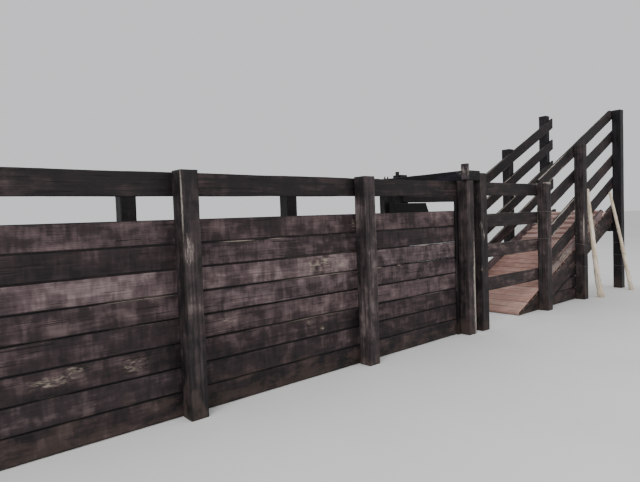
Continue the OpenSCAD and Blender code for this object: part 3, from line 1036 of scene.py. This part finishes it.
class RACE_OT_rails(bpy.types.Operator):
    """Top rails, level rails, sloping rails and the tie board"""

    bl_idname = "cattle_race.rails"
    bl_label = "Rails"

    def execute(self, context):
        for row in ROWS:
            for kind, tones in RAIL_TONES.items():
                dress(
                    f"{row}_{kind}", plumb_keys, *STAINED, tones=tones,
                    warm=(0.5, 1.3), split=0.4,
                )
        dress("far_gate_tie", plumb_keys, *STAINED, tones=(0.02,))
        return {"FINISHED"}


class RACE_OT_ramp(bpy.types.Operator):
    """Deck planks, cleats, kerbs, stringers, bearers and side boards"""

    bl_idname = "cattle_race.ramp"
    bl_label = "Ramp"

    def execute(self, context):
        for node, tones, warm in (
            ("lower_deck", (0.62, 0.86), (0.0, 0.5)),
            ("upper_deck", (0.92, 1.12), (-0.5, -0.1)),
            ("cleats", (0.85, 1.05), (-0.3, 0.0)),
        ):
            rng = np.random.default_rng(zlib.crc32(node.encode()))
            dress(
                node, cross_keys, "trodden_muddy_planks", "worn_deck",
                tones=rng.uniform(*tones, len(solids_of(node))),
                corner=3 * MM, wander=2 * MM, warm=warm,
            )
        for row in ROWS:
            dress(f"{row}_kerb", plumb_keys, *WEATHERED, tones=(0.82,))
        for place in ("near", "middle", "far"):
            dress(
                f"{place}_stringer", plumb_keys, *STAINED, tones=(0.54,), warm=(1.0, 1.3)
            )
        for row in ROWS:
            dress(
                f"{row}_side_boards", plumb_keys, WEATHERED[0], "stained_timber",
                wander=settings("race_timber").wall_wander, warm=(0.6, 1.0),
            )
        dress("bearers", cross_keys, *STAINED)
        return {"FINISHED"}


class RACE_OT_beam(bpy.types.Operator):
    """Flat beam across the gate posts, the block at its end and a peg"""

    bl_idname = "cattle_race.beam"
    bl_label = "Cross beam"

    def execute(self, context):
        dress(
            "cross_beam", cross_keys, *STAINED,
            tones=(0.28,), corner=7 * MM, warm=(-2.0, -1.9),
        )
        dress(
            "stop_block", upright_keys, STAINED[0], "weathered_boards",
            tones=(0.72,), corner=5 * MM, warm=(-0.6, -0.5),
        )
        # A stub of timber, 42 by 46 mm and 110 mm high, stands on the beam beside the
        # far gate post.
        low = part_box("far_post_4")[0]
        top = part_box("cross_beam")[1][2]
        left, right = low[0] - 44 * MM, low[0] - 2 * MM
        front, back = low[1] + 20 * MM, low[1] + 66 * MM
        ring = ((left, front), (right, front), (right, back), (left, back))
        keys = [[(x, y, z) for x, y in ring] for z in (top, top + 110 * MM)]
        shape, edge, cut = timber(
            keys, seed=11, corner=6 * MM, row=12 * MM, wander=2 * MM
        )
        make_object("beam_peg", [marked(shape, 0.05, 0.0, edge, cut=cut)], *STAINED)
        return {"FINISHED"}


class RACE_OT_props(bpy.types.Operator):
    """Two peeled poles that lean on the sloping rails"""

    bl_idname = "cattle_race.props"
    bl_label = "Props"

    def execute(self, context):
        for name, (points, radii) in PROPS.items():
            seed = zlib.crc32(name.encode())
            rng = np.random.default_rng(seed)
            path = smooth_path(points, round(60 / COARSER))
            shares = np.linspace(0, 1, len(path))
            girth = (radii[0] + (radii[1] - radii[0]) * shares) * MM
            girth *= 0.96 + 0.035 * np.sin(shares * 17 + 1)  # slightly thick and thin
            sides = 32
            verts, quads, tris, grain = tube(path, girth, sides)

            # The peeled surface is uneven by some 1.5 mm, and nine knots stand up
            # 4 to 8 mm on it.
            peeled = verts[:-2]
            out = peeled - np.repeat(path, sides, axis=0)
            out /= np.linalg.norm(out, axis=1)[:, None]
            push = swell(peeled, seed, 0.11) + 0.5 * swell(peeled, seed + 1, 0.03) - 1
            push = 1.5 * MM * push
            knots = peeled[rng.integers(0, len(peeled), 9)]
            for knot in knots:
                away = (peeled - knot) / (17 * MM, 17 * MM, 26 * MM)
                away = np.linalg.norm(away, axis=1)
                push += rng.uniform(4, 8) * MM * np.exp(-(away**2))
            peeled += out * push[:, None]
            low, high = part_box(name)
            verts = np.clip(verts, np.array(low) + 0.2 * MM, np.array(high) - 0.2 * MM)
            dark_knots = [(*knot, 0.012, 0.012, 0.014, -0.9) for knot in knots]
            shape = verts, quads, tris, grain + (seed % 37, 0, 0)
            part = marked(shape, 0.74, 0.4, 0.05, strength_at(verts, dark_knots))
            make_object(
                "timber_" + name, [part], "peeled_bleached_pole_wood", "raw_pole", name
            )
        return {"FINISHED"}


def board_nails(row):
    """Places of nails through a row's boards and rails into its posts.

    There are two where a board lies on a post by 40 mm or more, 20 mm or more below
    the post's top, on the board's face towards the race.
    """
    inward, face_corner = (1.0, 2) if row == "near" else (-1.0, 0)
    posts = [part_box(f"{row}_post_{i}") for i in POSTS]
    nodes = [f"{row}_boards_{i}" for i in BAYS] + [f"{row}_{kind}" for kind in RAIL_TONES]
    nodes += ["far_gate_tie"] if row == "far" else []
    spots = []
    for solid in (solid for node in nodes for solid in solids_of(node)):
        keys = np.array(plumb_keys(solid))
        xs = keys[:, 0, 0]
        face = keys[0, face_corner, 1]
        for low, high in posts:
            left, right = max(low[0], xs[0]), min(high[0], xs[-1])
            if right - left < 40 * MM:
                continue
            middle = (left + right) / 2
            bottom, top = (np.interp(middle, xs, keys[:, k, 2]) for k in (0, 1))
            for share in NAIL_PAIR:
                x = middle + (share - 0.5) * 30 * MM
                z = bottom + (top - bottom) * share
                if z < high[2] - 20 * MM:
                    spots.append(((x, face, z), (0, inward, 0)))
    return spots


def deck_nails():
    """Places of nails through the planks and cleats into the three stringers.

    The outer lines lie 19 mm in from the stringers' middle, clear of the kerbs that
    stand over them.
    """
    lines = []
    for side, shift in (("near", 19 * MM), ("middle", 0.0), ("far", -19 * MM)):
        low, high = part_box(f"{side}_stringer")
        lines.append((low[1] + high[1]) / 2 + shift)
    spots = []
    planks = ("lower_deck", NAIL_PAIR), ("upper_deck", NAIL_PAIR), ("cleats", (0.5,))
    for node, shares in planks:
        for solid in solids_of(node):
            ring = cross_keys(solid)[0]
            sides = zip(ring, np.roll(ring, -1, axis=0))
            highest = max(sides, key=lambda ends: ends[0][2] + ends[1][2])
            a, b = sorted(highest, key=lambda end: end[0])
            up = np.array([a[2] - b[2], 0, b[0] - a[0]]) / np.linalg.norm(b - a)
            for y in lines:
                for x, _, z in (a + (b - a) * share for share in shares):
                    spots.append(((x, y, z), up))
    return spots


class RACE_OT_nails(bpy.types.Operator):
    """Nail heads where a board crosses a post, and through planks and cleats"""

    bl_idname = "cattle_race.nails"
    bl_label = "Nails"

    def execute(self, context):
        head = settings("race_metal").nail_head
        for name, spots, slot in (
            ("near_nails", board_nails("near"), "stained_timber"),
            ("far_nails", board_nails("far"), "stained_timber"),
            ("deck_nails", deck_nails(), "worn_deck"),
        ):
            parts = dome_heads(spots, head, NAIL_PROUD)
            make_object(name, parts, "rusted_mild_steel", slot)
        return {"FINISHED"}


class RACE_OT_bolts(bpy.types.Operator):
    """Bolts with nuts and washers through the cross beam into the gate posts"""

    bl_idname = "cattle_race.bolts"
    bl_label = "Beam bolts"

    def execute(self, context):
        bolt = settings("race_metal").bolt
        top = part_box("cross_beam")[1][2]
        parts = []
        for post in ("near_post_3", "far_post_3"):
            low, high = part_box(post)
            y = (low[1] + high[1]) / 2
            for share in (0.3, 0.7):
                x = low[0] + (high[0] - low[0]) * share
                # Washer, nut and thread: sides, radius, lowest and highest point.
                for sides, radius, start, end in (
                    (20, 1.9 * bolt, -2 * MM, 4 * MM),
                    (6, 1.0 * bolt, 3 * MM, 0.85 * bolt),
                    (12, 0.5 * bolt, 0.8 * bolt, 2.3 * bolt),
                ):
                    start, end = top + start, top + end
                    heights = (start, start + 0.1 * MM, end - 1.2 * MM, end)
                    radii = (radius, radius, radius, radius * 0.86)
                    made = tube([(x, y, z) for z in heights], radii, sides)
                    parts.append((*made[:3], {}))
        made = make_object("beam_bolts", parts, "rusted_mild_steel", "stained_timber")
        made.data.shade_flat()
        return {"FINISHED"}


def rail_wires(lift):
    """Points of the wire that lies along two level rails and is tied round post 5."""
    rails = [solid.corners for solid in solids_of("near_level_rails")]
    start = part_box("near_post_4")[1][0]
    middle = (rails[0][:, 1].min() + rails[0][:, 1].max()) / 2
    low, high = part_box("near_post_5")
    left, right, front = low[0] - lift, high[0] + lift, low[1] - lift
    reach = left - 0.1 - start
    wires = []
    for rail in rails[1:3]:
        top = rail[:, 2].max() + lift
        bends = (0.004, 0), (0.3 * reach, -0.004), (0.65 * reach, 0.003), (reach, 0)
        wires.append([(start + x, middle + y, top) for x, y in bends])
        wires.append(
            [
                (left - 0.1, middle, top),
                (left - 5 * MM, high[1] - 12 * MM, top),
                (left, high[1] - 40 * MM, top - 1 * MM),
                (left, front + 30 * MM, top - 3 * MM),
                (left + 12 * MM, front, top - 4 * MM),
                (right - 12 * MM, front, top - 8 * MM),
                (right, front + 14 * MM, top - 9 * MM),
                (right, high[1] - 14 * MM, top - 12 * MM),
            ]
        )
        loose = (-3, 20, 1), (-7, 8, 9), (-14, 12, 18)
        wires.append([(left + x * MM, front + y * MM, top + z * MM) for x, y, z in loose])

    # One end hangs down over the second rail's outer face.
    top = rails[1][:, 2].max() + lift
    over = rails[1][:, 1].min() - lift
    hanging = (0.53, over, -0.006), (0.535, over, -0.045), (0.525, over, -0.08)
    hanging = (0.52, middle, 0), *hanging
    return [*wires, [(start + x, y, top + z) for x, y, z in hanging]]


def post_loops(lift):
    """Points of the wire loops round the ramp's near posts."""
    inset = 14 * MM
    wires = []
    for post, loops in WIRE_LOOPS.items():
        low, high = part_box(post)
        left, right = low[0] - lift, high[0] + lift
        front, back = low[1] - lift, high[1] + lift
        for z, fall in loops:
            fall *= MM
            wires.append(
                [
                    (left, back - inset, z),
                    (left, front + inset, z - 0.4 * fall),
                    (left + inset, front, z - 0.5 * fall),
                    (right - inset, front, z - fall),
                    (right, front + inset, z - fall),
                    (right, back - inset, z - 0.6 * fall),
                    (right - inset, back, z - 0.5 * fall),
                    (left + inset, back, z - 3 * MM),
                    (left, back - inset, z + 5 * MM),
                ]
            )
    return wires


class RACE_OT_wires(bpy.types.Operator):
    """Soft wire laid along two level rails and tied round three posts"""

    bl_idname = "cattle_race.wires"
    bl_label = "Tied wire"

    def execute(self, context):
        radius = settings("race_metal").wire / 2
        lift = radius + 0.6 * MM
        parts = []
        for points in (*rail_wires(lift), *post_loops(lift)):
            path = smooth_path(points, 8)
            parts.append((*tube(path, [radius] * len(path), 6)[:3], {}))
        make_object("tied_wire", parts, "dull_galvanised_wire", "stained_timber")
        return {"FINISHED"}


class RACE_OT_stage(bpy.types.Operator):
    """Pale floor, soft light and the camera"""

    bl_idname = "cattle_race.stage"
    bl_label = "Stage"

    def execute(self, context):
        stage = settings("race_stage")
        scene = bpy.context.scene
        # Smooth painted floor: pale grey, hardly mottled, and matt.
        material, tree = new_material("pale_studio_floor")
        place = add(tree, "TexCoord", out=3)
        mottle = add(tree, "TexNoise", place, None, 0.8, 2.0)
        shade = add(tree, "MapRange", mottle, 0.3, 0.7, 0.0, 0.05)
        paint = add(
            tree, "Mix", out=2, data_type="RGBA",
            sockets={0: shade, 6: settings("race_colours").floor, 7: linear("000000")},
        )
        shader = add(
            tree, "BsdfPrincipled", sockets={"Base Color": paint, "Roughness": 0.9}
        )
        add(tree, "OutputMaterial", shader)
        bpy.ops.mesh.primitive_grid_add(
            x_subdivisions=8, y_subdivisions=8, size=FLOOR_WIDTH
        )
        floor = bpy.context.object
        floor.name = "studio_floor"
        floor.data.materials.append(material)
        floor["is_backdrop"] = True

        world = bpy.data.worlds.new("soft_sky")
        scene.world = world
        world.use_nodes = True
        background = world.node_tree.nodes["Background"].inputs
        background[0].default_value = linear("f2f3f6")
        background[1].default_value = stage.sky

        for name, (place, aim, width, power) in LAMPS.items():
            data = bpy.data.lights.new(name, "AREA")
            data.size = width
            data.energy = power
            lamp = bpy.data.objects.new(name, data)
            lamp.location = place
            way = Vector(aim) - Vector(place)
            lamp.rotation_euler = way.to_track_quat("-Z", "Y").to_euler()
            scene.collection.objects.link(lamp)

        data = bpy.data.cameras.new("photo_camera")
        data.lens = stage.lens
        data.sensor_width = 36
        data.clip_start, data.clip_end = 0.05, 500
        camera = bpy.data.objects.new("photo_camera", data)
        scene.collection.objects.link(camera)

        # The camera looks along -Z, with X to its right and Y up.
        yaw, pitch, roll = stage.turn
        flat = math.cos(pitch)
        ahead = Vector((math.sin(yaw) * flat, math.cos(yaw) * flat, math.sin(pitch)))
        right = Vector((math.cos(yaw), -math.sin(yaw), 0))
        up = right.cross(ahead)
        axes = (
            right * math.cos(roll) + up * math.sin(roll),
            up * math.cos(roll) - right * math.sin(roll),
            -ahead,
        )
        turn = Matrix(axes).transposed().to_4x4()
        camera.matrix_world = Matrix.Translation(Vector(stage.eye)) @ turn
        scene.camera = camera
        return {"FINISHED"}


class RACE_PT_panel(bpy.types.Panel):
    """Lists the pieces of the race"""

    bl_idname = "RACE_PT_panel"
    bl_label = "Cattle race"
    bl_space_type = "VIEW_3D"
    bl_region_type = "UI"
    bl_category = "Cattle race"

    def draw(self, context):
        for name, group in GROUPS.items():
            box = self.layout.box()
            for key in group.__annotations__:
                box.prop(getattr(context.scene, name), key)
        for operator in OPERATORS:
            self.layout.operator(operator.bl_idname)


GROUPS = {
    "race_timber": RaceTimber,
    "race_colours": RaceColours,
    "race_metal": RaceMetal,
    "race_stage": RaceStage,
}
OPERATORS = (
    RACE_OT_posts, RACE_OT_walls, RACE_OT_rails, RACE_OT_ramp, RACE_OT_beam,
    RACE_OT_props, RACE_OT_nails, RACE_OT_bolts, RACE_OT_wires, RACE_OT_stage,
)


def register():
    """Registers every class and the scene's groups of settings."""
    for name, group in GROUPS.items():
        bpy.utils.register_class(group)
        setattr(bpy.types.Scene, name, bpy.props.PointerProperty(type=group))
    for made in (*OPERATORS, RACE_PT_panel):
        bpy.utils.register_class(made)


def unregister():
    """Takes back what register did."""
    for made in (RACE_PT_panel, *reversed(OPERATORS)):
        bpy.utils.unregister_class(made)
    for name, group in reversed(GROUPS.items()):
        delattr(bpy.types.Scene, name)
        bpy.utils.unregister_class(group)


def main():
    """Builds every piece in order."""
    register()
    for operator in OPERATORS:
        group, name = operator.bl_idname.split(".")
        getattr(getattr(bpy.ops, group), name)()
    boxes = {"cad": CAD_BOX, "visual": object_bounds()}
    boxes = {key: [list(corner) for corner in box] for key, box in boxes.items()}


if __name__ == "__main__":
    main()
